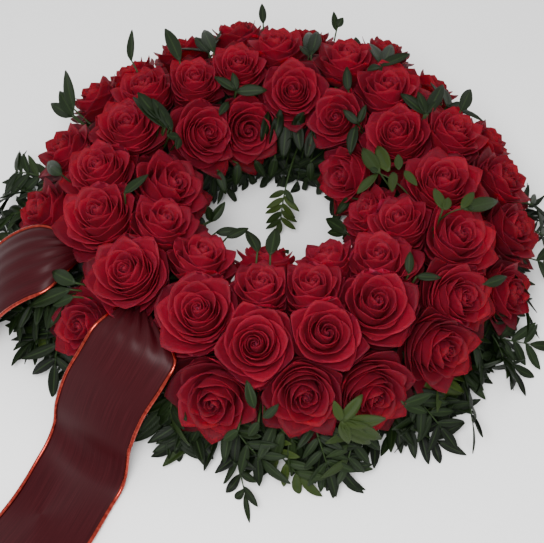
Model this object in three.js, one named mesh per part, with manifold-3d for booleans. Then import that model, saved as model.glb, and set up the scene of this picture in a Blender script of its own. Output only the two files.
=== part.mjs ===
// A wreath of red roses on a foam ring, with leaf sprigs between the roses and two ribbon tails.
// Millimetres, +Z up. The wreath lies flat on its backing tray, and the tails lie on the same table.
import * as THREE from 'three';
import { mergeVertices } from 'three/addons/utils/BufferGeometryUtils.js';
import Module from 'manifold-3d';

// Driving dimensions of the ring
const RING_RADIUS = 155; // circle through the middle of the wreath's section
const SECTION_HEIGHT = 45; // height of that circle above the table
const HEART_REACH = 100; // from that circle out to a rose's heart, sideways
const HEART_RISE = 91; // and upwards
const CLEARANCE = 0.35; // between pieces that lie against each other
const FACET = 15; // degrees of turn of one facet of the ring

// Foam ring and the tray that holds it
const FOAM_HALF_WIDTH = 46;
const FOAM_SHOULDER = 42; // height where the straight flanks end and the dome begins
const FOAM_DOME = 36; // rise of the dome above its shoulders
const TRAY_WALL = 2.5;
const TRAY_LIP = 14;
const TRAY_ROOM = 3; // between the foam's flank and the tray's lip

// Roses
const ROSE_DEPTH = 0.66; // height of a head, as a share of its diameter
const STEM_RADIUS = 2.3;
const STEM_END = 22; // distance from the section's middle at which a stem ends

// Greenery
const BED_THICKNESS = 6;
const SECTORS = 6;
const BLADE = 0.8; // thickness of a leaf
const LEAFLET_LENGTH = 34;
const LEAFLET_WIDTH = 11;
const LEAFLET_SPACING = 15; // along the rachis
const LEAFLET_ANGLE = 50; // between a leaflet and the rachis
const RACHIS_WIDTH = 2.4;
const SKIRT_SPRIGS = 24;
const SKIRT_REACH = 300; // radius at which the skirt's tips lie on the table

// Ribbon
const RIBBON_THICKNESS = 0.9;
const RIBBON_EDGE = 2; // thickness of the wired edge
const RIBBON_NOTCH = 26; // depth of the notch cut in a tail's end
const PIN_RADIUS = 1.2;
const PIN_LENGTH = 32;

// Roses by place: bearing round the ring, tilt from upright (outwards positive), diameter.
// Rows inside one list are a single rose, or two grown into each other.
const ROSE_PLAN = [
  [[5, 53, 66]], [[20, 63, 57]], [[45, 78, 64]], [[59, 53, 57]], [[81, 70, 59]], [[101, 50, 64]],
  [[117, 63, 62]], [[131, 67, 62]], [[145, 56, 59]], [[165, 51, 64]], [[183, 63, 67]], [[220, 59, 66]],
  [[256, 62, 73]], [[276, 54, 72]], [[291, 65, 72]], [[310, 59, 75]], [[321, 41, 69]], [[337, 78, 66]],
  [[351, 62, 68]],
  [[18, 21, 64]], [[45, 5, 74]], [[65, 15, 66]], [[90, 18, 62]], [[106, -2, 59]], [[125, -2, 58]],
  [[140, 18, 66]], [[158, 5, 69]], [[178, 13, 68]], [[196, 14, 75]], [[220, 16, 73]], [[246, 12, 75]],
  [[264, 24, 75]], [[283, 20, 70]], [[300, 12, 73]], [[336, 20, 70]], [[356, 3, 75]],
  [[24, -16, 72]], [[26, -64, 67]], [[54, -35, 61]], [[82, -25, 66]], [[111, -51, 64]], [[137, -40, 69]],
  [[182, -37, 75]], [[208, -23, 66]], [[234, -25, 63]], [[264, -14, 59]], [[263, -57, 59]],
  [[283, -12, 63], [296, -34, 59]], [[312, -12, 68]], [[333, -19, 64], [340, -43, 55]],
];

// Sprigs between the roses: bearing and tilt of the root, bearing, tilt and reach of the tip (a reach
// of 1 is level with the hearts), and pairs of leaflets.
const SPRIG_PLAN = [
  [2, -22, 16, -46, 1.04, 2], [342, 8, 356, 32, 1.06, 3], [30, 6, 39, 34, 1.08, 2], [55, 28, 57, 50, 1.06, 2],
  [42, -26, 37, -52, 1.06, 1], [77, 8, 80, 44, 1.06, 1], [97, -24, 112, -22, 1.1, 2], [112, 20, 110, 46, 1.06, 1],
  [127, 34, 128, 52, 1.22, 2], [94, 34, 94, 46, 1.18, 1], [150, -14, 149, 22, 1.08, 3], [154, 44, 154, 60, 1.24, 2],
  [171, 34, 170, 62, 1.08, 1], [190, -12, 186, -30, 1.1, 1], [62, -62, 82, -98, 1.0, 2], [221, -40, 226, -74, 1.02, 2],
  [248, -36, 250, -62, 1.1, 1], [267, 72, 262, 96, 1.1, 2], [283, 76, 290, 104, 1.1, 2], [300, 74, 305, 100, 1.08, 2],
  [214, 40, 208, 84, 1.05, 2], [316, 18, 320, 34, 1.12, 1], [28, 44, 33, 62, 1.1, 1],
];

// Ribbon tails from the pinned top to the cut end: place (from the ring's middle), width, the bearing
// that the ribbon runs along, and how far its middle stands above its edges.
const FRONT_TAIL = [
  [-132, -147, 74, 22, 238, 0], [-128, -155, 93, 30, 240, 4], [-128, -173, 105, 52, 242, 7],
  [-139, -196, 88, 78, 240, 6], [-151, -212, 60, 84, 237, 4], [-161, -226, 30, 85, 236, 2],
  [-169, -243, 8, 85, 237, 1], [-183, -268, 1.4, 85, 240, 0], [-205, -309, 1.4, 85, 238, 0],
  [-236, -356, 1.4, 85, 235, 0], [-270, -398, 1.4, 85, 231, 0], [-302, -436, 1.4, 85, 230, 0],
];
const LEFT_TAIL = [
  [-184, -62, 74, 22, 198, 0], [-192, -66, 91, 30, 198, 3], [-210, -74, 97, 46, 197, 5],
  [-239, -80, 88, 62, 197, 5], [-268, -86, 66, 80, 198, 4], [-292, -93, 36, 84, 198, 2],
  [-312, -99, 10, 85, 199, 1], [-334, -107, 1.4, 85, 200, 0], [-386, -127, 1.4, 85, 204, 0],
  [-436, -151, 1.4, 85, 207, 0], [-480, -176, 1.4, 85, 210, 0],
];

const wasm = await Module();
wasm.setup();
const UP = new THREE.Vector3(0, 0, 1);
const radians = THREE.MathUtils.degToRad;

let seed = 20;
function random(low, high) {
  seed = (seed * 16807) % 2147483647;
  return low + ((high - low) * seed) / 2147483647;
}

function radialOf(bearing) {
  return new THREE.Vector3(Math.cos(radians(bearing)), Math.sin(radians(bearing)), 0);
}

// A point given by its bearing, its distance from the ring's middle and its height
function onRing(bearing, radius, height) {
  return radialOf(bearing).multiplyScalar(radius).setZ(height);
}

// A point on the surface through the roses' hearts, or above or below it by the reach
function onHearts(bearing, tilt, reach) {
  const radius = RING_RADIUS + reach * HEART_REACH * Math.sin(radians(tilt));
  return onRing(bearing, radius, SECTION_HEIGHT + reach * HEART_RISE * Math.cos(radians(tilt)));
}

// A point of the domed section in flat facets of 45 degrees, offset from the foam's surface
function domePoint(tilt, offset) {
  const step = 45;
  const corner = (angle) => new THREE.Vector2(
    RING_RADIUS + (FOAM_HALF_WIDTH + offset) * Math.sin(radians(angle)),
    FOAM_SHOULDER + (FOAM_DOME + offset) * Math.cos(radians(angle)),
  );
  const low = Math.min(Math.floor(tilt / step), 1) * step;
  return corner(low).lerp(corner(low + step), (tilt - low) / step);
}

function solidFrom(geometry) {
  const bare = geometry.clone();
  bare.deleteAttribute('normal');
  bare.deleteAttribute('uv');
  const merged = mergeVertices(bare, 1e-4);
  const facing = (index) => new wasm.Manifold(new wasm.Mesh({
    numProp: 3,
    vertProperties: new Float32Array(merged.attributes.position.array),
    triVerts: new Uint32Array(index),
  }));
  const index = Array.from(merged.index.array);
  const solid = facing(index);
  return solid.volume() > 0 ? solid : facing(index.reverse());
}

function geometryFrom(solid) {
  const mesh = solid.getMesh();
  const geometry = new THREE.BufferGeometry();
  geometry.setAttribute('position', new THREE.BufferAttribute(new Float32Array(mesh.vertProperties), 3));
  geometry.setIndex(new THREE.BufferAttribute(new Uint32Array(mesh.triVerts), 1));
  return geometry;
}

// The largest body of a solid, with no needless corners: a cut can leave a loose crumb
function cleaned(solid) {
  const largest = solid.decompose().sort((a, b) => b.volume() - a.volume())[0];
  return largest.asOriginal().simplify(0.02);
}

// A closed skin over a row of rings, each a list of points in step with the others, with flat ends
function skin(rings) {
  const points = rings.flat();
  const index = [];
  const count = rings[0].length;
  for (let ring = 0; ring + 1 < rings.length; ring += 1) {
    for (let k = 0; k < count; k += 1) {
      const a = ring * count + k;
      const b = ring * count + ((k + 1) % count);
      index.push(a, b, b + count, a, b + count, a + count);
    }
  }
  return { points, index, count };
}

function bufferGeometry(points, index) {
  const geometry = new THREE.BufferGeometry().setFromPoints(points);
  geometry.setIndex(index);
  return geometry;
}

// A straight three-sided rod with its first corner in the given direction
function rod(start, end, radius, corner) {
  const axis = end.clone().sub(start).normalize();
  const corners = [0, 1, 2].map((k) => corner.clone().applyAxisAngle(axis, (k * Math.PI * 2) / 3));
  const rings = [start, end].map((centre) => corners.map((out) => centre.clone().addScaledVector(out, radius)));
  const { points, index } = skin(rings);
  return solidFrom(bufferGeometry(points, [...index, 0, 2, 1, 3, 4, 5]));
}

// Backing tray and foam: profiles turned round the vertical axis
function turned(profile) {
  const closed = [...profile, profile[0]].map(([radius, height]) => new THREE.Vector2(radius, height));
  const shape = new THREE.LatheGeometry(closed, 360 / FACET);
  shape.rotateX(Math.PI / 2);
  return solidFrom(shape);
}

function traySolid() {
  const inner = RING_RADIUS - FOAM_HALF_WIDTH - TRAY_ROOM - TRAY_WALL;
  const outer = RING_RADIUS + FOAM_HALF_WIDTH + TRAY_ROOM + TRAY_WALL;
  return turned([
    [inner, 0], [inner, TRAY_LIP], [inner + TRAY_WALL, TRAY_LIP], [inner + TRAY_WALL, TRAY_WALL],
    [outer - TRAY_WALL, TRAY_WALL], [outer - TRAY_WALL, TRAY_LIP], [outer, TRAY_LIP], [outer, 0],
  ]);
}

function foamSolid() {
  const floor = TRAY_WALL + CLEARANCE;
  const dome = [-90, -45, 0, 45, 90].map((tilt) => domePoint(tilt, 0).toArray());
  const inner = RING_RADIUS - FOAM_HALF_WIDTH;
  const outer = RING_RADIUS + FOAM_HALF_WIDTH;
  return turned([[inner, floor], ...dome, [outer, floor]]);
}

// A rose: its axis runs from the section's middle out through the heart
function roseFrame([bearing, tilt, diameter], cluster) {
  const side = new THREE.Vector3().crossVectors(UP, radialOf(bearing));
  const axis = radialOf(bearing).multiplyScalar(Math.sin(radians(tilt))).addScaledVector(UP, Math.cos(radians(tilt)));
  const height = ROSE_DEPTH * diameter;
  const base = onHearts(bearing, tilt, 1).addScaledVector(axis, -height);
  const middle = base.clone().addScaledVector(axis, 0.6 * height);
  const depth = base.clone().sub(onRing(bearing, RING_RADIUS, SECTION_HEIGHT)).dot(axis) - STEM_END;
  const root = base.clone().addScaledVector(axis, -depth);
  const across = new THREE.Vector3().crossVectors(axis, side);
  const spin = radians(bearing * 3.1 + tilt);
  const corner = side.clone().applyAxisAngle(axis, spin);
  return { axis, side, across, base, middle, root, height, radius: diameter / 2, cluster, spin, corner };
}

// Rings of a head from calyx to heart. Radius and height are shares of the head's, first at the petal
// tips and then between them. A turned ring has its tips over the notches of the ring below.
const CALYX = [0.2, 0.07];
const BOWL = [0.64, 0.3];
const WHORLS = [
  { turned: false, tip: [1.05, 0.58], notch: [0.97, 0.64] },
  { turned: false, tip: [0.74, 0.67], notch: [0.72, 0.62] },
  { turned: true, tip: [0.83, 0.84], notch: [0.74, 0.88] },
  { turned: true, tip: [0.54, 0.8], notch: [0.52, 0.76] },
  { turned: false, tip: [0.56, 0.97], notch: [0.46, 0.95] },
];
const HEART_FOLD = [0.34, 0.8];
const PETALS = 5;

// How far the head may spread in one direction before it meets the plane shared with a neighbour
function spreadLimit(rose, direction, planes) {
  let limit = 1;
  for (const { tip, notch } of WHORLS) {
    const reach = Math.max(tip[0], notch[0]) * rose.radius;
    for (const height of [tip[1], notch[1]]) {
      const point = rose.base.clone().addScaledVector(rose.axis, height * rose.height);
      for (const plane of planes) {
        const slope = plane.normal.dot(direction);
        const room = -plane.distanceToPoint(point);
        if (slope > 1e-6) limit = Math.min(limit, Math.max(room, 4) / slope / reach);
      }
    }
  }
  return limit;
}

// Planes that keep a head apart from every head of another cluster
function sharedPlanes(rose, roses) {
  const planes = [];
  for (const other of roses) {
    if (other.cluster === rose.cluster) continue;
    const gap = other.middle.clone().sub(rose.middle);
    const distance = gap.length();
    if (distance > rose.radius + other.radius + 12) continue;
    const share = (distance ** 2 + rose.radius ** 2 - other.radius ** 2) / (2 * distance);
    const normal = gap.normalize();
    const point = rose.middle.clone().addScaledVector(normal, share - CLEARANCE / 2);
    planes.push(new THREE.Plane().setFromNormalAndCoplanarPoint(normal, point));
  }
  return planes;
}

// Joins two rings of unlike counts, going round both by angle
function stitch(lower, upper, index) {
  const turn = Math.PI * 2;
  const angleAt = (ring, k) => ring[k % ring.length].angle + (k >= ring.length ? turn : 0);
  let a = 0;
  let b = 0;
  while (a < lower.length || b < upper.length) {
    const advanceLower = b >= upper.length
      || (a < lower.length && angleAt(lower, a + 1) <= angleAt(upper, b + 1));
    const low = lower[a % lower.length].id;
    const high = upper[b % upper.length].id;
    if (advanceLower) {
      a += 1;
      index.push(low, lower[a % lower.length].id, high);
    } else {
      b += 1;
      index.push(low, upper[b % upper.length].id, high);
    }
  }
}

function roseSolid(rose, roses) {
  const planes = sharedPlanes(rose, roses);
  const points = [];
  const ring = (count, start, radiusAt, heightAt, squeezed) => {
    const list = [];
    for (let k = 0; k < count; k += 1) {
      const angle = start + (k * Math.PI * 2) / count;
      const direction = rose.side.clone().multiplyScalar(Math.cos(angle)).addScaledVector(rose.across, Math.sin(angle));
      const limit = squeezed ? spreadLimit(rose, direction, planes) : 1;
      const point = rose.base.clone().addScaledVector(rose.axis, heightAt(k)).addScaledVector(direction, radiusAt(k) * limit);
      list.push({ angle, id: points.push(point) - 1 });
    }
    return list;
  };
  const { spin } = rose;
  const stem = rose.root.distanceTo(rose.base);
  const rings = [
    ring(3, spin, () => STEM_RADIUS, () => -stem, false),
    ring(3, spin, () => STEM_RADIUS, () => -1, false),
    ring(PETALS, spin, () => CALYX[0] * rose.radius, () => CALYX[1] * rose.height, false),
    ring(PETALS, spin + Math.PI / PETALS, () => BOWL[0] * rose.radius, () => BOWL[1] * rose.height, true),
  ];
  for (const { turned: isTurned, tip, notch } of WHORLS) {
    const share = (k) => ((k % 2 === 0) === isTurned ? notch : tip);
    rings.push(ring(2 * PETALS, spin, (k) => share(k)[0] * rose.radius, (k) => share(k)[1] * rose.height, true));
  }
  rings.push(ring(PETALS, spin, () => HEART_FOLD[0] * rose.radius, () => HEART_FOLD[1] * rose.height, true));
  const index = [rings[0][0].id, rings[0][2].id, rings[0][1].id];
  for (let k = 0; k + 1 < rings.length; k += 1) stitch(rings[k], rings[k + 1], index);
  const heart = points.push(rose.base.clone().addScaledVector(rose.axis, rose.height)) - 1;
  const fold = rings.at(-1);
  for (let k = 0; k < PETALS; k += 1) index.push(fold[k].id, fold[(k + 1) % PETALS].id, heart);
  return solidFrom(bufferGeometry(points, index));
}

// A ribbon tail: a flat band with thicker wired edges, swept through its places, with its pin
function tailSolid(places) {
  const steps = 2 * (places.length - 1);
  const path = new THREE.CatmullRomCurve3(places.map(([x, y, z]) => new THREE.Vector3(x, y, z)));
  const rings = [];
  const across = [-1, -0.92, 0, 0.92, 1];
  for (let step = 0; step <= steps; step += 1) {
    const at = step / 2;
    const low = places[Math.floor(at)];
    const high = places[Math.ceil(at)];
    const blend = (column) => (low[column] + high[column]) / 2;
    const centre = path.getPoint(step / steps);
    centre.z = Math.max(centre.z, RIBBON_EDGE / 2 + CLEARANCE);
    const tangent = path.getTangent(step / steps);
    const side = new THREE.Vector3().crossVectors(radialOf(blend(4)), UP);
    const normal = new THREE.Vector3().crossVectors(side, tangent).normalize();
    const crown = blend(5);
    const notch = step === steps ? RIBBON_NOTCH : 0;
    const edgeRow = (sign) => across.map((share) => {
      const half = (Math.abs(share) === 1 ? RIBBON_EDGE : RIBBON_THICKNESS) / 2;
      return centre.clone()
        .addScaledVector(side, (share * blend(3)) / 2)
        .addScaledVector(normal, crown * (0.5 - share * share) + sign * half)
        .addScaledVector(tangent, -notch * (1 - Math.abs(share)));
    });
    rings.push([...edgeRow(-1), ...edgeRow(1).reverse()]);
  }
  const { points, index, count } = skin(rings);
  const last = points.length - count;
  for (let k = 0; k + 1 < across.length; k += 1) {
    const opposite = count - 2 - k;
    index.push(k, opposite, k + 1, k, opposite + 1, opposite);
    index.push(last + k, last + k + 1, last + opposite, last + k, last + opposite, last + opposite + 1);
  }
  const band = solidFrom(bufferGeometry(points, index));
  return { band, pin: pinEnds(places[0]) };
}

// A pin goes through the gathered top of a tail and on towards the middle of the foam
function pinEnds([x, y, z]) {
  const top = new THREE.Vector3(x, y, z);
  const bearing = THREE.MathUtils.radToDeg(Math.atan2(y, x));
  const inward = onRing(bearing, RING_RADIUS, SECTION_HEIGHT).sub(top).normalize();
  return {
    top: top.clone().addScaledVector(inward, -6),
    point: top.clone().addScaledVector(inward, PIN_LENGTH),
    corner: new THREE.Vector3().crossVectors(inward, UP).normalize(),
  };
}

// One sector of the leafy bed that covers the foam
function bedSolid(sector) {
  const span = 360 / SECTORS;
  const trim = 0.12;
  const low = TRAY_LIP + 2;
  const inside = [-90, -45, 0, 45, 90].map((tilt) => domePoint(tilt, CLEARANCE).toArray());
  const outside = [90, 45, 0, -45, -90].map((tilt) => domePoint(tilt, CLEARANCE + BED_THICKNESS).toArray());
  const section = [
    [inside[0][0], low], ...inside, [inside[4][0], low], [outside[0][0], low], ...outside, [outside[4][0], low],
  ];
  const rings = [];
  for (let turn = 0; turn <= span; turn += FACET) {
    const bearing = sector * span + THREE.MathUtils.clamp(turn, trim, span - trim);
    rings.push(section.map(([radius, height]) => onRing(bearing, radius, height)));
  }
  const { points, index, count } = skin(rings);
  const last = points.length - count;
  for (let k = 0; k + 1 < count / 2; k += 1) {
    const opposite = count - 2 - k;
    index.push(k, opposite, k + 1, k, opposite + 1, opposite);
    index.push(last + k, last + k + 1, last + opposite, last + k, last + opposite, last + opposite + 1);
  }
  return solidFrom(bufferGeometry(points, index));
}

// Outline of a pinnate sprig lying flat along +X: a bare rachis, pairs of leaflets and one at the tip
function sprigOutline(length, pairs) {
  const half = RACHIS_WIDTH / 2;
  const end = length - LEAFLET_LENGTH;
  const lean = radians(LEAFLET_ANGLE);
  const side = [[0, half], [end - pairs * LEAFLET_SPACING, half]];
  side.splice(1, 0, [side[1][0] * 0.55, half]);
  for (let pair = pairs; pair > 0; pair -= 1) {
    const foot = end - pair * LEAFLET_SPACING + 8;
    const leaf = LEAFLET_LENGTH * (pair === 1 ? 0.95 : 1);
    const spot = (along, out) => [
      foot + along * Math.cos(lean) - out * Math.sin(lean), half + along * Math.sin(lean) + out * Math.cos(lean),
    ];
    side.push([foot - 1.4, half], spot(0.42 * leaf, LEAFLET_WIDTH / 2), spot(leaf, 0));
    side.push(spot(0.42 * leaf, -LEAFLET_WIDTH / 2), [foot + 1.4, half]);
  }
  side.push([end, half], [end + 0.45 * LEAFLET_LENGTH, LEAFLET_WIDTH / 2]);
  const mirrored = side.map(([x, y]) => [x, -y]).reverse();
  return [...side, [length, 0], ...mirrored].map(([x, y]) => new THREE.Vector2(x, y));
}

// A sprig bent along the curve from its root past a guide point to its tip, and rolled about it
function sprigSolid(root, guide, tip, pairs, roll) {
  const curve = new THREE.QuadraticBezierCurve3(root, guide, tip);
  const length = curve.getLength();
  const most = Math.floor((length - LEAFLET_LENGTH - 8) / LEAFLET_SPACING);
  const shape = new THREE.Shape(sprigOutline(length, THREE.MathUtils.clamp(pairs, 0, Math.max(most, 0))));
  const blade = new THREE.ExtrudeGeometry(shape, { depth: BLADE, bevelEnabled: false });
  const side = guide.clone().sub(root).cross(tip.clone().sub(guide)).normalize();
  const place = blade.attributes.position;
  for (let k = 0; k < place.count; k += 1) {
    const share = THREE.MathUtils.clamp(place.getX(k) / length, 0, 1);
    const tangent = curve.getTangentAt(share);
    const normal = new THREE.Vector3().crossVectors(tangent, side);
    const across = side.clone().multiplyScalar(Math.cos(roll)).addScaledVector(normal, Math.sin(roll));
    const face = new THREE.Vector3().crossVectors(tangent, across);
    const out = place.getY(k);
    const point = curve.getPointAt(share)
      .addScaledVector(across, out)
      .addScaledVector(face, place.getZ(k) - BLADE / 2 + 0.005 * out * out);
    place.setXYZ(k, point.x, point.y, point.z);
  }
  return solidFrom(blade);
}

function boxesMeet(a, b) {
  return [0, 1, 2].every((axis) => a.min[axis] < b.max[axis] && b.min[axis] < a.max[axis]);
}

function isClear(solid, obstacles) {
  const box = solid.boundingBox();
  return obstacles.every((other) => !boxesMeet(box, other.boundingBox()) || solid.intersect(other).isEmpty());
}

// Roses, then the ribbon tails, then the foam and the bed with a plain hole for every stem and pin
const roses = ROSE_PLAN.flatMap((cluster, k) => cluster.map((row) => roseFrame(row, k)));
const roseSolids = ROSE_PLAN.map((_, k) => roses
  .filter((rose) => rose.cluster === k)
  .map((rose) => roseSolid(rose, roses))
  .reduce((joined, solid) => joined.add(solid)));
const tails = [FRONT_TAIL, LEFT_TAIL].map(tailSolid);
const tailSolids = tails.map(({ band, pin }) => band.add(rod(pin.top, pin.point, PIN_RADIUS, pin.corner)));

const holes = [
  ...roses.map(({ root, base, axis, corner }) => rod(
    root.clone().addScaledVector(axis, -CLEARANCE), base, STEM_RADIUS + 2 * CLEARANCE, corner,
  )),
  ...tails.map(({ pin }) => rod(
    pin.top, pin.point.clone().lerp(pin.top, -0.02), PIN_RADIUS + 2 * CLEARANCE, pin.corner,
  )),
];
const drilled = (solid) => cleaned(holes.reduce((left, hole) => left.subtract(hole), solid));
const foam = drilled(foamSolid());
const tray = traySolid();
const beds = Array.from({ length: SECTORS }, (_, sector) => drilled(bedSolid(sector)));

// Sprigs are tried at their planned place, then a little to each side and higher, until they are clear
const sprigs = beds.map(() => []);
const sectorOf = (bearing) => Math.floor((((bearing % 360) + 360) % 360) / (360 / SECTORS));
const NUDGES = [[0, 0], [2, 0], [-2, 0], [0, 5], [0, -5], [4, 0], [-4, 0], [3, 6], [-3, 6], [3, -6], [-3, -6]];
const LIFTS = [0, 0.05, 0.1, 0.15];

function addSprig(bearing, build) {
  for (const lift of LIFTS) {
    for (const [turn, slide] of NUDGES) {
      const sector = sectorOf(bearing + turn);
      const solid = build(bearing + turn, slide, lift);
      const others = beds.flatMap((bed, k) => (k === sector ? [] : [bed, ...sprigs[k]]));
      if (isClear(solid, [...roseSolids, ...tailSolids, foam, tray, ...others])) {
        sprigs[sector].push(solid);
        return;
      }
    }
  }
}

function addTopSprig([rootBearing, rootTilt, tipBearing, tipTilt, reach, pairs]) {
  addSprig(rootBearing, (bearing, slide, lift) => {
    const tilt = THREE.MathUtils.clamp(rootTilt + slide, -88, 88);
    const foot = domePoint(tilt, CLEARANCE + 1.5);
    const root = onRing(bearing, foot.x, foot.y);
    const guide = onHearts(bearing, tilt, 1.02 + lift);
    return sprigSolid(root, guide, onHearts(tipBearing, tipTilt, reach + lift), pairs, 0);
  });
}

function addSkirtSprig(number) {
  const bearing = (number * 360) / SKIRT_SPRIGS + random(-3, 3);
  const rise = number % 2 === 0 ? 22 : 34;
  const reach = SKIRT_REACH + random(-12, 8);
  const sway = random(-6, 6);
  const roll = random(-0.3, 0.3);
  addSprig(bearing, (at, slide, lift) => {
    const foot = domePoint(90, CLEARANCE + 1.5).x;
    const drop = 40 * lift;
    const root = onRing(at, foot, rise - drop);
    const guide = onRing(at + sway / 3, 0.5 * (foot + reach), rise + 6 - 2 * drop + slide / 3);
    return sprigSolid(root, guide, onRing(at + sway, reach - 3 * Math.abs(slide), 9), 3, roll * (1 - 4 * lift));
  });
}

SPRIG_PLAN.forEach(addTopSprig);
for (let number = 0; number < SKIRT_SPRIGS; number += 1) addSkirtSprig(number);

// The scene: one named mesh for each piece, moved so that its box stands on the origin
const wreath = new THREE.Group();
function addPiece(name, solid, color, roughness) {
  const mesh = new THREE.Mesh(
    geometryFrom(solid),
    new THREE.MeshStandardMaterial({ color, roughness, metalness: 0 }),
  );
  mesh.name = name;
  wreath.add(mesh);
}

addPiece('backing_tray', tray, 0x1f3a24, 0.5);
addPiece('foam_ring', foam, 0x2f5d3a, 0.95);
roseSolids.forEach((solid, k) => addPiece(`rose_${String(k + 1).padStart(2, '0')}`, solid, 0xa00d1c, 0.7));
beds.forEach((bed, k) => {
  const fused = sprigs[k].reduce((joined, sprig) => joined.add(sprig), bed);
  addPiece(`greenery_${k + 1}`, cleaned(fused), 0x24401f, 0.5);
});
addPiece('ribbon_tail_front', tailSolids[0], 0x4f1a24, 0.35);
addPiece('ribbon_tail_left', tailSolids[1], 0x4f1a24, 0.35);

const box = new THREE.Box3().setFromObject(wreath);
const middle = box.getCenter(new THREE.Vector3());
wreath.position.set(-middle.x, -middle.y, -box.min.z);

const group = new THREE.Group();
group.add(wreath);

export default group;
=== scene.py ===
# A wreath of red roses on a foam ring, with leaf sprigs and two ribbon tails, lying on a table.
# Metres, +Z up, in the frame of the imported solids.
import math

import bpy
import numpy as np
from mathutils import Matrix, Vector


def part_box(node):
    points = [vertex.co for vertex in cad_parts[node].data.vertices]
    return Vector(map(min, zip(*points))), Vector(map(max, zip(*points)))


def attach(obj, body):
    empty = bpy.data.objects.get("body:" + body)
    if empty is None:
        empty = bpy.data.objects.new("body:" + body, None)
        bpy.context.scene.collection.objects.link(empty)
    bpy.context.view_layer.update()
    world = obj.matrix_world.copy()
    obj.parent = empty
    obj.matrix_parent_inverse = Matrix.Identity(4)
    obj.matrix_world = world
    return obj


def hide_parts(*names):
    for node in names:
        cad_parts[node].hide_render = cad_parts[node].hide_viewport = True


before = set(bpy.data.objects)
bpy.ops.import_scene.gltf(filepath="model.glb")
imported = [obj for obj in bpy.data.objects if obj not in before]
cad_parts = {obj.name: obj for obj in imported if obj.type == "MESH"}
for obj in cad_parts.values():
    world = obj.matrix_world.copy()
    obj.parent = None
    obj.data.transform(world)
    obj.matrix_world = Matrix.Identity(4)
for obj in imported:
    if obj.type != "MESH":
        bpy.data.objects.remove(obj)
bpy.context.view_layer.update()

# The backing tray is a moulded plastic ring with two low lips, and the foam ring sits in it. Both are
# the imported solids; the tray is glossy and finely grained, the foam is dull and full of pores.
TRAY_COLOURS = (0.012, 0.03, 0.015), (0.02, 0.045, 0.022)
FOAM_COLOURS = (0.015, 0.05, 0.02), (0.035, 0.11, 0.05)
GRAIN_DETAIL = 6.0
GRAIN_STRENGTH = 0.6


def new_material(name):
    material = bpy.data.materials.new(name)
    material.use_nodes = True
    nodes = material.node_tree.nodes
    return material, nodes, material.node_tree.links, nodes["Principled BSDF"]


def colour_ramp(nodes, *stops):
    node = nodes.new("ShaderNodeValToRGB")
    elements = node.color_ramp.elements
    while len(elements) < len(stops):
        elements.new(0.5)
    for element, (place, colour) in zip(elements, stops):
        element.position = place
        element.color = (*colour, 1.0)
    return node


def add_bump(nodes, links, shader, height, strength, distance):
    bump = nodes.new("ShaderNodeBump")
    bump.inputs["Strength"].default_value = strength
    bump.inputs["Distance"].default_value = distance
    links.new(height, bump.inputs["Height"])
    links.new(bump.outputs["Normal"], shader.inputs["Normal"])


def grained_material(name, colours, scale, roughness, distance):
    material, nodes, links, shader = new_material(name)
    place = nodes.new("ShaderNodeTexCoord")
    grain = nodes.new("ShaderNodeTexNoise")
    grain.inputs["Scale"].default_value = scale
    grain.inputs["Detail"].default_value = GRAIN_DETAIL
    links.new(place.outputs["Object"], grain.inputs["Vector"])
    ramp = colour_ramp(nodes, (0.3, colours[0]), (0.7, colours[1]))
    links.new(grain.outputs["Fac"], ramp.inputs["Fac"])
    links.new(ramp.outputs["Color"], shader.inputs["Base Color"])
    shader.inputs["Roughness"].default_value = roughness
    add_bump(nodes, links, shader, grain.outputs["Fac"], GRAIN_STRENGTH, distance)
    return material


def dress_node(node, material):
    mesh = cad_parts[node].data
    mesh.materials.clear()
    mesh.materials.append(material)


TRAY_PLASTIC = grained_material("tray_plastic", TRAY_COLOURS, scale=900.0, roughness=0.35, distance=0.0002)
FLORAL_FOAM = grained_material("floral_foam", FOAM_COLOURS, scale=700.0, roughness=0.95, distance=0.001)
dress_node("backing_tray", TRAY_PLASTIC)
dress_node("foam_ring", FLORAL_FOAM)

# The roses are cut heads: a tight rolled heart, cupped petals round it in a spiral, outer petals turned back
# to a point, a green calyx, and a short stem pushed into the foam. Their hearts lie on a ring surface round
# the foam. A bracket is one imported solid: bearing, tilt from upright and diameter in mm of its heads.
tray_low, tray_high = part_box("backing_tray")
RING_MIDDLE = np.array([(tray_low[0] + tray_high[0]) / 2, (tray_low[1] + tray_high[1]) / 2, 0.0])
RING_RADIUS = 0.155
SECTION_HEIGHT = 0.045
HEART_REACH = 0.100
HEART_RISE = 0.091
ROSE_PLAN = [
    [(5, 53, 66)], [(20, 63, 57)], [(45, 78, 64)], [(59, 53, 57)], [(81, 70, 59)], [(101, 50, 64)],
    [(117, 63, 62)], [(131, 67, 62)], [(145, 56, 59)], [(165, 51, 64)], [(183, 63, 67)], [(220, 59, 66)],
    [(256, 62, 73)], [(276, 54, 72)], [(291, 65, 72)], [(310, 59, 75)], [(321, 41, 69)], [(337, 78, 66)],
    [(351, 62, 68)],
    [(18, 21, 64)], [(45, 5, 74)], [(65, 15, 66)], [(90, 18, 62)], [(106, -2, 59)], [(125, -2, 58)],
    [(140, 18, 66)], [(158, 5, 69)], [(178, 13, 68)], [(196, 14, 75)], [(220, 16, 73)], [(246, 12, 75)],
    [(264, 24, 75)], [(283, 20, 70)], [(300, 12, 73)], [(336, 20, 70)], [(356, 3, 75)],
    [(24, -16, 72)], [(26, -64, 67)], [(54, -35, 61)], [(82, -25, 66)], [(111, -51, 64)], [(137, -40, 69)],
    [(182, -37, 75)], [(208, -23, 66)], [(234, -25, 63)], [(264, -14, 59)], [(263, -57, 59)],
    [(283, -12, 63), (296, -34, 59)], [(312, -12, 68)], [(333, -19, 64), (340, -43, 55)],
]
ROSE_DEPTH = 0.66
ROSE_MIDDLE = 0.6
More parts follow.
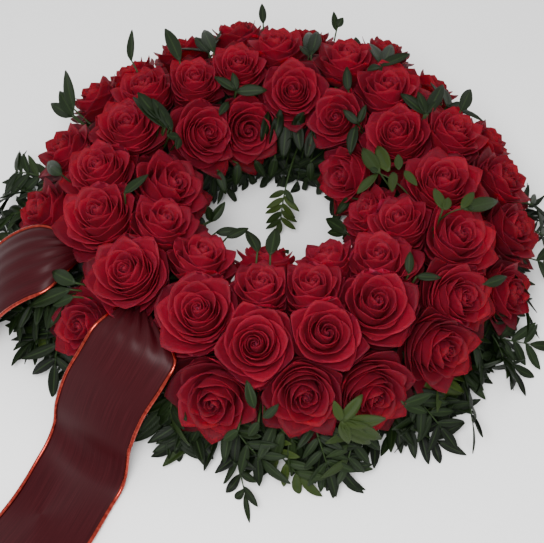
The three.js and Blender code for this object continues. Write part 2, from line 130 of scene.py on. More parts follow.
# Outer roses stand more upright than the flank, but not at the front, and those at the back reach further
OUTER_TILT = 30
OUTER_LEAN = 0.72
FRONT_BEARINGS = (225, 330)
BACK_BEARINGS = (40, 150)
BACK_REACH = 1.07
# The more a rose is tilted outward, the darker its red: painted shade where the light falls off toward the
# flank
PAINTED_SHADE_TILTS = [25, 55]
PAINTED_LIGHT_LEVELS = [0.63, 0.26]
PETAL_TONE_SPREAD = 0.25
BLOOM_SPREAD = 1.10
PETALS = 33
PETAL_ACROSS = 11
PETAL_ALONG = 8
PETAL_THICKNESS = 0.00042
SEPALS = 5
SEPAL_ACROSS = 3
SEPAL_ALONG = 5
SEPAL_THICKNESS = 0.0006
HIP_SHARE = 0.26
HIP_STATIONS = 7
HIP_SIDES = 10
STEM_RADIUS = 0.0023
STEM_END = 0.022
STEM_STATIONS = 5
STEM_SIDES = 8
TABLE_CLEARANCE = 0.002
MM_PER_M = 1000.0
UP = np.array([0.0, 0.0, 1.0])
rng = np.random.default_rng(7)


def unit(vector):
    return vector / np.linalg.norm(vector)


def radial(bearing):
    turn = math.radians(bearing)
    return np.array([math.cos(turn), math.sin(turn), 0.0])


def on_ring(bearing, radius, height):
    return RING_MIDDLE + radial(bearing) * radius + UP * height


def on_hearts(bearing, tilt, reach):
    """A place on the surface of the hearts (reach 1), inside it or outside it."""
    slope = math.radians(tilt)
    radius = RING_RADIUS + reach * HEART_REACH * math.sin(slope)
    return on_ring(bearing, radius, SECTION_HEIGHT + reach * HEART_RISE * math.cos(slope))


def between(bearing, span):
    return span[0] < bearing < span[1]


class Rose:
    """Place, size and own axes of one head, with its base at the origin of the axes."""

    def __init__(self, node, bearing, tilt, diameter_mm):
        stands_up = tilt > OUTER_TILT and not between(bearing, FRONT_BEARINGS)
        at_the_back = stands_up and between(bearing, BACK_BEARINGS)
        slope = math.radians(tilt * OUTER_LEAN if stands_up else tilt)
        heart = on_hearts(bearing, tilt, BACK_REACH if at_the_back else 1.0)
        self.node = node
        self.radius = diameter_mm / MM_PER_M / 2.0
        self.painted_light_level = np.interp(tilt, PAINTED_SHADE_TILTS, PAINTED_LIGHT_LEVELS)
        self.height = ROSE_DEPTH * 2.0 * self.radius
        self.axis = radial(bearing) * math.sin(slope) + UP * math.cos(slope)
        side = np.cross(UP, radial(bearing))
        self.axes = np.stack([side, np.cross(self.axis, side), self.axis])
        self.base = heart - self.axis * self.height
        self.middle = self.base + self.axis * ROSE_MIDDLE * self.height
        self.depth = (self.base - on_ring(bearing, RING_RADIUS, SECTION_HEIGHT)) @ self.axis - STEM_END

    def to_world(self, points):
        return self.base + points @ self.axes

    def to_local(self, points):
        return (points - self.base) @ self.axes.T


roses = [Rose(f"rose_{number:02d}", *row) for number, rows in enumerate(ROSE_PLAN, 1) for row in rows]


def smooth(share):
    share = np.clip(share, 0.0, 1.0)
    return share * share * (3.0 - 2.0 * share)


class Skin:
    """Points, faces and painted values of one piece, gathered part by part."""

    def __init__(self):
        self.points = []
        self.faces = []
        self.finish = []
        self.values = []
        self.count = 0

    def add(self, points, faces, finish, **values):
        self.points.append(points)
        self.faces.append(np.asarray(faces) + self.count)
        self.finish.append(np.full(len(faces), finish))
        self.values.append({key: np.broadcast_to(value, len(points)) for key, value in values.items()})
        self.count += len(points)


def closed_grid_faces(along, across):
    """Faces of a thin closed blade: an upper and a lower grid of points and the rim between them."""
    spot = np.arange(along * across).reshape(along, across)
    corners = [spot[:-1, :-1], spot[:-1, 1:], spot[1:, 1:], spot[1:, :-1]]
    quads = np.stack(corners, axis=-1).reshape(-1, 4)
    rim = np.concatenate([spot[0, :-1], spot[:-1, -1], spot[-1, :0:-1], spot[:0:-1, 0]])
    after = np.roll(rim, -1)
    lower = along * across
    walls = np.stack([rim, rim + lower, after + lower, after], axis=-1)
    return np.concatenate([quads, quads[:, ::-1] + lower, walls])


def blade(grid, thickness):
    """Upper and lower points of a blade whose middle is the given grid of points."""
    lengthwise = np.gradient(grid, axis=0)
    crosswise = np.gradient(grid, axis=1)
    normal = np.cross(crosswise, lengthwise)
    normal /= np.maximum(np.linalg.norm(normal, axis=-1, keepdims=True), 1e-12)
    half = normal * thickness / 2.0
    return np.concatenate([(grid + half).reshape(-1, 3), (grid - half).reshape(-1, 3)])


# Shape of a petal by its rank, from the heart (0) to the outer petals (1) and the guard petals under them:
# leans and rolls in degrees, lengths and widths for a head of unit radius
RANKS = [0.0, 0.15, 0.3, 0.45, 0.6, 0.8, 1.0, 1.2]
LEAN_AT_FOOT = [4, 16, 32, 46, 58, 68, 76, 84]
LEAN_AT_WAIST = [-2, -2, 0, 4, 10, 21, 36, 58]
LEAN_AT_TIP = [-14, -8, 2, 17, 36, 62, 86, 96]
PETAL_LENGTH = [0.86, 0.94, 1.03, 1.12, 1.17, 1.18, 1.17, 1.17]
PETAL_HALF_WIDTH = [0.22, 0.34, 0.48, 0.62, 0.76, 0.86, 0.90, 0.90]
MARGIN_ROLL = [0, 0, 8, 20, 36, 54, 62, 50]
RANDOM_TURN = 6.28


def petal_grid(rank, azimuth, openness):
    """Middle surface of one petal in its rose's own frame, for a head of unit radius."""
    # The upper margin is round on inner petals and comes to a point on outer ones
    across = np.linspace(-1.0, 1.0, PETAL_ACROSS)[None, :]
    pointed = np.clip((rank - 0.35) / 0.4, 0.0, 1.0)
    top = 1.0 - 0.38 * np.abs(across) ** (1.8 - 0.45 * pointed)
    top = top + (0.03 + 0.035 * pointed) * np.exp(-(across / 0.22) ** 2)
    along = np.linspace(0.0, 1.0, PETAL_ALONG)[:, None] ** 0.9 * top
    # The petal leans out from its foot, stands up at its waist and turns back at its tip and sides
    foot = np.interp(rank, RANKS, LEAN_AT_FOOT)
    waist = np.interp(rank, RANKS, LEAN_AT_WAIST)
    tip = np.interp(rank, RANKS, LEAN_AT_TIP)
    length = np.interp(rank, RANKS, PETAL_LENGTH)
    half = np.interp(rank, RANKS, PETAL_HALF_WIDTH)
    roll = np.interp(rank, RANKS, MARGIN_ROLL)
    tip = tip * openness + roll * (np.abs(across) ** 1.6 - 0.34) + rng.uniform(-9, 9)
    lean = foot + (waist - foot) * smooth(along / 0.45) + (tip - waist) * smooth((along - 0.58) / 0.42)
    lean = np.radians(lean)
    step = np.diff(along, axis=0) * length
    turn = (lean[1:] + lean[:-1]) / 2.0
    start = np.zeros((1, PETAL_ACROSS))
    out = 0.03 + 0.19 * rank + np.concatenate([start, np.cumsum(np.sin(turn) * step, axis=0)])
    high = 0.20 - 0.12 * rank + np.concatenate([start, np.cumsum(np.cos(turn) * step, axis=0)])
    # It wraps round the heart, one side over the next petal, with a slightly wavy margin
    width = half * (0.35 + 0.65 * smooth(along / 0.5))
    swing = np.clip(width * across / np.maximum(out, 0.05), -2.6, 2.6)
    out = out + 0.018 * swing + 0.05 * across * along * (0.4 + rank)
    phase = rng.uniform(0.0, RANDOM_TURN, 2)
    ripple = along ** 2 * (0.2 + rank)
    out = out + 0.022 * np.sin(3.1 * across + phase[0]) * ripple
    high = high + 0.026 * np.sin(4.3 * across + phase[1]) * ripple
    grid = np.stack([out * np.cos(azimuth + swing), out * np.sin(azimuth + swing), high], axis=-1)
    return grid, along, np.broadcast_to(across, along.shape)


PRESS_SOFTNESS = 0.0022
PRESS_RANGE = 0.02


def press_apart(points, rose):
    """Petals that would pass into a neighbour are pressed back from the plane between the two heads."""
    for other in roses:
        gap = other.middle - rose.middle
        distance = np.linalg.norm(gap)
        if other is rose or distance > rose.radius + other.radius + PRESS_RANGE:
            continue
        share = (distance ** 2 + rose.radius ** 2 - other.radius ** 2) / (2.0 * distance)
        normal = gap / distance
        room = share - (points - rose.middle) @ normal
        kept = PRESS_SOFTNESS * np.logaddexp(0.0, room / PRESS_SOFTNESS)
        points = points + (room - kept)[:, None] * normal
    return points


def tube(path, radii, sides):
    """Points and faces of a closed round tube along a path."""
    path = np.asarray(path)
    ahead = np.gradient(path, axis=0)
    no_path_runs_here = np.array([0.31, 0.57, 0.76])
    angles = np.linspace(0.0, 2.0 * math.pi, sides, endpoint=False)[:, None]
    rings = []
    for place, along, radius in zip(path, ahead, radii):
        first = unit(np.cross(along, no_path_runs_here))
        second = unit(np.cross(along, first))
        rings.append(place + radius * (np.cos(angles) * first + np.sin(angles) * second))
    points = np.concatenate(rings + [path[:1], path[-1:]])
    spot = np.arange(len(path) * sides).reshape(len(path), sides)
    beside = np.roll(spot, -1, axis=1)
    walls = np.stack([spot[:-1], beside[:-1], beside[1:], spot[1:]], axis=-1).reshape(-1, 4)
    start = np.full(sides, len(points) - 2)
    end = np.full(sides, len(points) - 1)
    first_cap = np.stack([beside[0], spot[0], start, start], axis=-1)
    last_cap = np.stack([spot[-1], beside[-1], end, end], axis=-1)
    return points, np.concatenate([walls, first_cap, last_cap])


PETAL_FACES = closed_grid_faces(PETAL_ALONG, PETAL_ACROSS)
SEPAL_FACES = closed_grid_faces(SEPAL_ALONG, SEPAL_ACROSS)
GOLDEN_TURN = math.radians(137.508)
PETAL_FINISH = 0
GREEN_FINISH = 1


def add_petals(skin, rose, start, openness, hand):
    for number in range(PETALS):
        layer = number / (PETALS - 1.0)
        azimuth = hand * number * GOLDEN_TURN + start + rng.uniform(-0.15, 0.15)
        grid, along, across = petal_grid(RANKS[-1] * layer, azimuth, openness)
        grid[..., 1] *= hand
        points = rose.to_world(blade(grid * rose.radius * BLOOM_SPREAD, PETAL_THICKNESS))
        points = press_apart(points, rose)
        points[:, 2] = np.maximum(points[:, 2], TABLE_CLEARANCE)
        faces = PETAL_FACES if hand > 0 else PETAL_FACES[:, ::-1]
        # The petal's tone is its rose's painted light level by tilt, plus a random tone of its own
        tone = rose.painted_light_level + rng.uniform(-PETAL_TONE_SPREAD, PETAL_TONE_SPREAD)
        skin.add(points, faces, PETAL_FINISH, height=np.tile(along.ravel(), 2),
                 across=np.tile(across.ravel(), 2), tone=tone, layer=layer)


def add_stem(skin, rose):
    heights = np.linspace(0.0, 1.0, HIP_STATIONS)
    swell = 0.10 + 0.16 * np.sin(math.pi * np.clip(heights * 0.85, 0, 1)) ** 1.2
    hip = [rose.base + rose.axis * share * HIP_SHARE * rose.height for share in heights]
    points, faces = tube(hip, swell * rose.radius, HIP_SIDES)
    skin.add(points, faces, GREEN_FINISH, height=0.5, across=0.0, tone=0.3, layer=1.0)
    stem = [rose.base - rose.axis * share * rose.depth for share in np.linspace(1.0, -0.02, STEM_STATIONS)]
    points, faces = tube(stem, [STEM_RADIUS] * STEM_STATIONS, STEM_SIDES)
    skin.add(points, faces, GREEN_FINISH, height=0.3, across=0.0, tone=0.3, layer=1.0)


def add_sepals(skin, rose, start):
    along = np.linspace(0.0, 1.0, SEPAL_ALONG)[:, None]
    across = np.linspace(-1.0, 1.0, SEPAL_ACROSS)[None, :]
    out = (0.20 + 0.42 * along - 0.05 * np.abs(across)) * rose.radius
    high = np.broadcast_to((0.10 + 0.20 * along - 0.42 * along ** 2) * rose.radius, out.shape)
    swing = across * 0.30 * (1.0 - along ** 1.5) + 0.004
    for number in range(SEPALS):
        turn = start + number * math.tau / SEPALS + swing
        grid = np.stack([out * np.cos(turn), out * np.sin(turn), high], axis=-1)
        points = rose.to_world(blade(grid, SEPAL_THICKNESS))
        skin.add(points, SEPAL_FACES, GREEN_FINISH, height=0.6, across=0.0, tone=0.5, layer=1.0)


def add_rose(skin, rose):
    openness = rng.uniform(0.86, 1.06)
    start = rng.uniform(0.0, RANDOM_TURN)
    hand = rng.choice([-1.0, 1.0])
    add_petals(skin, rose, start, openness, hand)
    add_stem(skin, rose)
    add_sepals(skin, rose, start)


def make_piece(name, skin, materials):
    mesh = bpy.data.meshes.new(name)
    # A triangle comes as a quad with its last point twice
    quads = np.concatenate(skin.faces).tolist()
    faces = [quad[:3] if quad[3] == quad[2] else quad for quad in quads]
    mesh.from_pydata(np.concatenate(skin.points).tolist(), [], faces)
    for material in materials:
        mesh.materials.append(material)
    mesh.polygons.foreach_set("material_index", np.concatenate(skin.finish).astype(np.int32))
    mesh.polygons.foreach_set("use_smooth", np.ones(len(faces), dtype=bool))
    for key in skin.values[0]:
        paint = mesh.attributes.new(key, "FLOAT", "POINT")
        shares = np.concatenate([part[key] for part in skin.values])
        paint.data.foreach_set("value", shares.astype(np.float32))
    mesh.update()
    piece = bpy.data.objects.new(name, mesh)
    bpy.context.collection.objects.link(piece)
    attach(piece, "root")
    return piece


def painted(nodes, key):
    node = nodes.new("ShaderNodeAttribute")
    node.attribute_name = key
    return node.outputs["Fac"]


def worked_out(nodes, links, operation, value, factor=1.0):
    node = nodes.new("ShaderNodeMath")
    node.operation = operation
    node.inputs[1].default_value = factor
    links.new(value, node.inputs[0])
    return node


def multiplied(nodes, links, first, second, share):
    mix = nodes.new("ShaderNodeMix")
    mix.data_type = "RGBA"
    mix.blend_type = "MULTIPLY"
    mix.inputs["Factor"].default_value = share
    links.new(first, mix.inputs["A"])
    links.new(second, mix.inputs["B"])
    return mix.outputs["Result"]


def petal_material():
    """A veined red with painted light and shade: lighter at the foot, darker at the tip and on the guard
    petals, paler at the heart.
    """
    material, nodes, links, shader = new_material("velvet_petal")
    height = painted(nodes, "height")
    tone = painted(nodes, "tone")
    vein_place = nodes.new("ShaderNodeCombineXYZ")
    wide = worked_out(nodes, links, "MULTIPLY", painted(nodes, "across"), 9.0)
    links.new(wide.outputs[0], vein_place.inputs["X"])
    links.new(height, vein_place.inputs["Y"])
    links.new(tone, vein_place.inputs["Z"])
    veins = nodes.new("ShaderNodeTexNoise")
    veins.inputs["Scale"].default_value = 2.6
    veins.inputs["Detail"].default_value = 5.0
    links.new(vein_place.outputs["Vector"], veins.inputs["Vector"])
    # Painted light and shade along the petal: lighter towards the foot for light in the crevices, darker
    # towards the tip to hold down highlights
    ramp = colour_ramp(nodes, (0.0, (0.22, 0.0066, 0.018)), (0.4, (0.25, 0.0082, 0.024)),
                       (0.8, (0.138, 0.0047, 0.0148)), (1.0, (0.088, 0.0031, 0.0102)))
    links.new(height, ramp.inputs["Fac"])
    vein_shade = colour_ramp(nodes, (0.3, (0.62, 0.62, 0.66)), (0.7, (1.12, 1.06, 1.06)))
    links.new(veins.outputs["Fac"], vein_shade.inputs["Fac"])
    veined = multiplied(nodes, links, ramp.outputs["Color"], vein_shade.outputs["Color"], 0.55)
    # The tone scales the red: painted shade on roses tilted outward, with a random spread of tone
    shade = colour_ramp(nodes, (0.0, (0.50, 0.50, 0.54)), (1.0, (1.45, 1.32, 1.30)))
    links.new(tone, shade.inputs["Fac"])
    toned = multiplied(nodes, links, veined, shade.outputs["Color"], 1.0)
    # By layer: guard petals darker, partly their own deeper red and partly painted shade between the heads;
    # the heart paler and pinker, partly the paler reverse of its petals and partly a painted highlight
    layer_shade_and_highlight = colour_ramp(nodes, (0.0, (1.3, 4.0, 3.2)), (0.05, (1.1, 1.7, 1.6)), (0.12, (1.0, 1.0, 1.0)),
                         (0.68, (1.0, 1.0, 1.0)), (0.85, (0.6, 0.6, 0.62)), (1.0, (0.26, 0.26, 0.3)))
    links.new(painted(nodes, "layer"), layer_shade_and_highlight.inputs["Fac"])
    layered = multiplied(nodes, links, toned, layer_shade_and_highlight.outputs["Color"], 1.0)
    links.new(layered, shader.inputs["Base Color"])
    shader.inputs["Roughness"].default_value = 0.62
    shader.inputs["Specular IOR Level"].default_value = 0.09
    shader.inputs["Sheen Weight"].default_value = 0.05
    shader.inputs["Sheen Roughness"].default_value = 0.5
    shader.inputs["Sheen Tint"].default_value = (1.0, 0.10, 0.16, 1.0)
    shader.inputs["Subsurface Weight"].default_value = 0.5
    shader.inputs["Subsurface Radius"].default_value = (1.0, 0.12, 0.16)
    shader.inputs["Subsurface Scale"].default_value = 0.004
    add_bump(nodes, links, shader, veins.outputs["Fac"], strength=0.35, distance=0.0006)
    return material


def leaf_material(name, dark, light, rib):
    """Dark green to a young yellow-green by the leaf's tone, with a paler midrib and slanting veins."""
    material, nodes, links, shader = new_material(name)
    tone = painted(nodes, "tone")
    young = (light[0] * 3.4, light[1] * 2.6, light[2] * 1.6)
    shade = colour_ramp(nodes, (0.0, dark), (0.7, light), (1.0, young))
    links.new(tone, shade.inputs["Fac"])
    middle = worked_out(nodes, links, "ABSOLUTE", painted(nodes, "across"))
    keel = colour_ramp(nodes, (0.0, (1.0, 1.0, 1.0)), (0.16, (0.0, 0.0, 0.0)))
    links.new(middle.outputs[0], keel.inputs["Fac"])
    ribbed = nodes.new("ShaderNodeMix")
    ribbed.data_type = "RGBA"
    links.new(keel.outputs["Color"], ribbed.inputs["Factor"])
    links.new(shade.outputs["Color"], ribbed.inputs["A"])
    ribbed.inputs["B"].default_value = (*rib, 1.0)
    links.new(ribbed.outputs["Result"], shader.inputs["Base Color"])
    slant = worked_out(nodes, links, "MULTIPLY_ADD", middle.outputs[0], -0.35)
    links.new(painted(nodes, "height"), slant.inputs[2])
    vein_place = nodes.new("ShaderNodeCombineXYZ")
    links.new(slant.outputs[0], vein_place.inputs["X"])
    links.new(tone, vein_place.inputs["Y"])
    veins = nodes.new("ShaderNodeTexWave")
    veins.inputs["Scale"].default_value = 4.0
    veins.inputs["Distortion"].default_value = 1.5
    links.new(vein_place.outputs["Vector"], veins.inputs["Vector"])
    shader.inputs["Roughness"].default_value = 0.46
    shader.inputs["Specular IOR Level"].default_value = 0.12
    add_bump(nodes, links, shader, veins.outputs["Fac"], strength=0.3, distance=0.0006)
    return material


PETAL_VELVET = petal_material()
STEM_GREEN = leaf_material(
    "calyx_green", dark=(0.02, 0.06, 0.015), light=(0.05, 0.12, 0.03), rib=(0.05, 0.12, 0.03))
for number in range(1, len(ROSE_PLAN) + 1):
    node = f"rose_{number:02d}"
    skin = Skin()
    for rose in roses:
        if rose.node == node:
            add_rose(skin, rose)
    bloom = make_piece(f"bloom_{number:02d}", skin, [PETAL_VELVET, STEM_GREEN])
    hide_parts(node)

# The greenery is pinnate sprigs of a leathery shrub: a thin rachis with pairs of narrow leaflets. They are
# pushed into the foam as a skirt on the table all round, between the roses, and round the hole.
# A bed of short stubs hides the foam under them.
SECTORS = 6
FOAM_HALF_WIDTH = 0.046
FOAM_SHOULDER = 0.042
FOAM_DOME = 0.036
BED_OFFSET = 0.0064
TRAY_LIP = 0.014
LEAFLET_LENGTH = 0.031
LEAFLET_HALF_WIDTH = 0.0049
LEAFLET_STATIONS = 7
LEAFLET_ACROSS = 5
LEAFLET_THICKNESS = 0.0005
LEAFLET_SPACING = 0.0135
SINGLE_LEAF_BREADTH = 1.25
SINGLE_LEAF_VARIETY = 0.07
SPRIG_STATIONS = 12
SPRIG_STALK = (0.0011, 0.0006)
LEAF_STALK = 0.0009
STALK_SIDES = 5
STEEPEST_ROOT = 88
LEAF_LIFT = 0.0015
CLEAR_REACH = 1.1
BED_STUBS = 25
BED_THICKNESS = 0.002
BED_LUMP = 0.0012
BED_LEAVES = 250
HOLE_SPRIGS = 44
HOLE_GUIDE = 0.100
SKIRT_SPRIGS = 96
SKIRT_RISE = (0.022, 0.038, 0.054)
SKIRT_GUIDE = 0.244
YOUNG_TONE = 0.95
YOUNG_FIRST = 5
YOUNG_EVERY = 13
SKIRT_LEAVES = 620
LEAF_FIRST_FOOT = 0.204
LEAF_LAST_FOOT = 0.246
SKIRT_EDGE = 0.262
SKIRT_BEARINGS = [0, 152, 164, 206, 213, 226, 242, 247, 330, 350, 360]
SKIRT_REACH = [0.264, 0.262, 0.282, 0.280, 0.254, 0.246, 0.256, 0.264, 0.270, 0.266, 0.264]
LEFT_FRONT_LEAVES = 70
LEFT_FRONT_BEARINGS = [196, 208, 216, 224]
LEFT_FRONT_REACH = [0.27, 0.275, 0.25, 0.235]
LEFT_FRONT_FIRST_FOOT = 0.222
# Where the front tail lies over the skirt, sprigs and leaves end sooner, and sprigs turn away from it
TAIL_BEARING = 235.0
TAIL_OVER_SPRIGS = (226.0, 242.0)
TAIL_OVER_LEAVES = (226.0, 244.0)
TAIL_TURNS_SPRIGS = (216.0, 254.0)
TAIL_SPRIG_REACH = 0.240
TAIL_SPRIG_GUIDE = 0.222
TAIL_LEAF_LAST_FOOT = 0.224
# Single leaflets between the roses, in bunches: tone, then foot and tip of each by bearing, tilt and reach
LEAF_BUNCHES = [
    (0.85, [
        (355, -31, 1.12, 19, -38, 1.12), (354, -26, 1.12, 17, -30, 1.12),
        (354, -21, 1.12, 3, -20, 1.12), (354, -32, 1.12, 341, -42, 1.12),
        (353, -24, 1.12, 340, -21, 1.12), (353, -18, 1.12, 345, -12, 1.08)
    ]),
    (0.84, [
        (337, 4, 1.1, 345, -3, 1.12), (337, 5, 1.1, 342, 5, 1.12), (340, 13, 1.1, 349, 32, 1.12),
        (340, 12, 1.1, 347, 16, 1.12)
    ]),
    (0.40, [
        (25, 4, 0.96, 36, 0, 1.02), (25, 5, 0.96, 33, 8, 1.04), (25, 6, 0.96, 33, 28, 1.06),
        (25, 7, 0.96, 28, 15, 1.02), (52, 14, 0.96, 63, 38, 1.06), (52, 14, 0.96, 56, 42, 1.08),
        (52, 14, 0.96, 49, 32, 1.06), (52, 12, 0.96, 54, 2, 1.02)
    ]),
    (0.35, [
        (55, -17, 0.98, 61, -6, 1.06), (39, -31, 0.98, 50, -30, 1.04), (39, -31, 0.98, 41, -20, 1.04),
        (39, -33, 0.98, 28, -47, 1.04), (78, 1, 0.96, 80, 34, 1.06), (77, 2, 0.96, 77, 28, 1.05),
        (78, 1, 0.96, 82, 8, 1.0)
    ]),
    (0.45, [
        (112, -24, 1.0, 119, -12, 1.04), (112, -24, 1.0, 110, -14, 1.06),
        (112, -25, 1.0, 96, -27, 1.04), (118, -29, 0.96, 126, -34, 1.0), (113, 10, 0.98, 112, 36, 1.14),
        (125, 14, 0.98, 121, 38, 1.2)
    ]),
    (0.45, [
        (135, 36, 1.08, 130, 40, 1.34), (94, 40, 1.04, 94, 40, 1.26), (73, 42, 1.02, 75, 42, 1.22),
        (73, 42, 1.06, 72, 43, 1.18), (24, 30, 0.98, 30, 42, 1.13)
    ]),
    (0.40, [
        (156, -19, 1.02, 150, 8, 1.06), (154, -14, 1.03, 149, 5, 1.08), (154, -17, 1.04, 147, 2, 1.08),
        (155, -21, 1.04, 148, -4, 1.08), (156, -23, 1.02, 149, -10, 1.08),
        (156, -29, 1.0, 160, -22, 1.04), (156, -29, 1.0, 164, -30, 1.02)
    ]),
    (0.55, [
        (154, 60, 1.0, 151, 74, 1.3), (154, 58, 1.0, 149, 68, 1.28), (153, 56, 1.04, 145, 64, 1.42),
        (180, 34, 0.98, 172, 52, 1.04), (180, 34, 0.98, 176, 44, 1.06), (194, -4, 0.98, 187, -18, 1.04)
    ]),
    (0.90, [
        (282, 63, 1.12, 281, 52, 1.12), (282, 63, 1.12, 287, 53, 1.12), (282, 63, 1.12, 291, 73, 1.12),
        (282, 63, 1.12, 290, 82, 1.12), (282, 63, 1.12, 287, 84, 1.12), (282, 63, 1.12, 283, 78, 1.12)
    ]),
    (0.60, [
        (267, 63, 1.0, 270, 55, 1.04), (266, 66, 1.0, 264, 74, 1.04), (262, 73, 1.0, 259, 80, 1.05),
        (265, 58, 0.98, 263, 44, 1.0), (296, 71, 1.0, 302, 71, 1.08), (296, 72, 1.0, 300, 79, 1.08)
    ]),
    (0.50, [
        (314, 13, 0.94, 318, 22, 1.02), (313, 9, 0.94, 318, 1, 1.0), (327, 44, 0.98, 332, 52, 1.06),
        (214, 41, 1.0, 206, 51, 1.05), (214, 46, 1.0, 208, 72, 1.12), (216, 47, 1.0, 213, 60, 1.06)
    ]),
    (0.50, [
        (197, -70, 0.9, 194, -58, 1.0), (197, -71, 0.9, 188, -67, 1.12),
        (222, -68, 0.95, 229, -71, 1.17), (210, -70, 0.9, 222, -74, 1.1),
        (259, -32, 1.05, 247, -46, 1.17), (266, -30, 1.05, 269, -47, 1.18),
        (270, -50, 0.9, 278, -54, 0.98), (328, -62, 0.86, 342, -74, 1.06),
        (328, -62, 0.86, 326, -74, 1.0)
    ]),
    (0.45, [
        (127, -70, 0.92, 138, -84, 0.98), (144, -68, 0.86, 156, -80, 0.96),
        (110, -74, 0.9, 104, -88, 0.96), (60, -72, 0.9, 52, -84, 0.98), (92, -74, 0.9, 96, -90, 0.96),
        (8, -70, 0.86, 2, -84, 0.94)
    ]),
    (0.35, [
        (33, 48, 0.8, 25, 60, 0.98), (33, 48, 0.8, 40, 60, 0.98), (33, 50, 0.8, 32, 72, 1.0),
        (34, 44, 0.8, 39, 38, 0.96), (112, 34, 0.82, 106, 44, 0.98), (112, 34, 0.82, 120, 42, 0.98),
        (112, 32, 0.82, 113, 50, 1.0), (65, 40, 0.84, 68, 52, 0.98)
    ]),
    (0.95, [
        (212, 96, 1.0, 209, 103, 1.24), (212, 97, 1.0, 212, 105, 1.24), (212, 97, 1.0, 215, 104, 1.14)
    ]),
    (0.20, [
        (88, -42, 0.82, 95, -64, 0.94), (78, -46, 0.82, 71, -66, 0.94), (96, -40, 0.82, 103, -60, 0.92),
        (84, -50, 0.82, 86, -74, 0.94), (74, -42, 0.8, 82, -60, 0.9), (66, -50, 0.82, 62, -70, 0.92)
    ]),
]
# Whole sprigs: root bearing and tilt, tip bearing, tilt and reach, pairs of leaflets, tone and leaflet size
TOP_SPRIGS = [
    (346, -12, 355, -32, 1.12, 0, 0.8, 0.3), (337, 0, 341, 15, 1.1, 0, 0.6, 0.2),
    (76, -70, 80, -101, 1.38, 5, 0.95, 0.68), (168, 82, 166, 92, 1.36, 5, 0.55, 1.0),
    (171, 86, 173, 94, 1.34, 5, 0.4, 1.0), (177, 86, 178, 96, 1.32, 5, 0.5, 1.0),
    (214, 42, 206, 88, 1.06, 4, 0.4, 1.0), (206, 70, 204, 94, 1.2, 4, 0.35, 1.0),
    (2, 70, 2, 86, 1.14, 2, 0.4, 1.0), (356, 76, 355, 92, 1.2, 2, 0.5, 1.0),
    (348, 80, 350, 98, 1.24, 3, 0.6, 1.0),
]


def dome(tilt, offset):
    """Radius and height of the foam's section, or of a like section round it."""
    slope = math.radians(tilt)
    radius = RING_RADIUS + (FOAM_HALF_WIDTH + offset) * math.sin(slope)
    return radius, FOAM_SHOULDER + (FOAM_DOME + offset) * math.cos(slope)


def in_foam(bearing, tilt):
    return on_ring(bearing, *dome(np.clip(tilt, -STEEPEST_ROOT, STEEPEST_ROOT), 0.0))


def bend(root, guide, tip, count):
    """Points of a curve from root to tip that leaves towards the guide."""
    share = np.linspace(0.0, 1.0, count)[:, None]
    return (1 - share) ** 2 * root + 2 * share * (1 - share) * guide + share ** 2 * tip


def laid_on_blooms(points):
    """Leaf points that would lie inside a head are lifted along its axis on to its petals."""
    for rose in roses:
        local = rose.to_local(points)
        out = np.hypot(local[:, 0], local[:, 1]) / rose.radius
        top = rose.height * (1.03 - 0.42 * np.clip(out, 0, 1.2) ** 2.4)
        lift = np.clip(top + LEAF_LIFT - local[:, 2], 0.0, None)
        weight = smooth((1.06 - out) / 0.12) * (local[:, 2] > 0.2 * rose.height)
        points = points + (lift * weight)[:, None] * rose.axis
    return points


def leaflet_points(foot, along, across, face, length, half):
    """Middle surface of a lance-shaped leaflet, folded a little along its midrib, arched and twisted."""
    share = np.linspace(0.0, 1.0, LEAFLET_STATIONS)[:, None]
    side = np.linspace(-1.0, 1.0, LEAFLET_ACROSS)[None, :]
    width = half * np.sin(math.pi * np.clip(share, 0.015, 0.985) ** 0.85) ** 0.68
    curve = rng.uniform(-0.10, 0.22) * length
    twist = rng.uniform(-0.5, 0.5) * share
    fold = rng.uniform(0.15, 0.4)
    sway = rng.uniform(-0.08, 0.08) * length
    flat = side * width
    high = np.abs(side) * width * fold - curve * share ** 2
    grid = (foot + (share * length)[..., None] * along
            + (flat * np.cos(twist) + sway * share ** 2)[..., None] * across
            + (high + flat * np.sin(twist))[..., None] * face)
    return grid, np.broadcast_to(share, flat.shape), np.broadcast_to(side, flat.shape)


LEAFLET_FACES = closed_grid_faces(LEAFLET_STATIONS, LEAFLET_ACROSS)
LEAF_FINISH = 0
BED_FINISH = 1


def add_leaflet(skin, foot, along, across, face, size, tone, fit, breadth=1.0, vary=0.25):
    half = LEAFLET_HALF_WIDTH * breadth * min(max(size, 0.7), 1.15)
    grid, share, side = leaflet_points(foot, along, across, face, LEAFLET_LENGTH * size, half)
    grid = fit(grid.reshape(-1, 3)).reshape(grid.shape)
    skin.add(blade(grid, LEAFLET_THICKNESS), LEAFLET_FACES, LEAF_FINISH, height=np.tile(share.ravel(), 2),
             across=np.tile(side.ravel(), 2), tone=np.clip(tone + rng.uniform(-vary, vary), 0, 1))


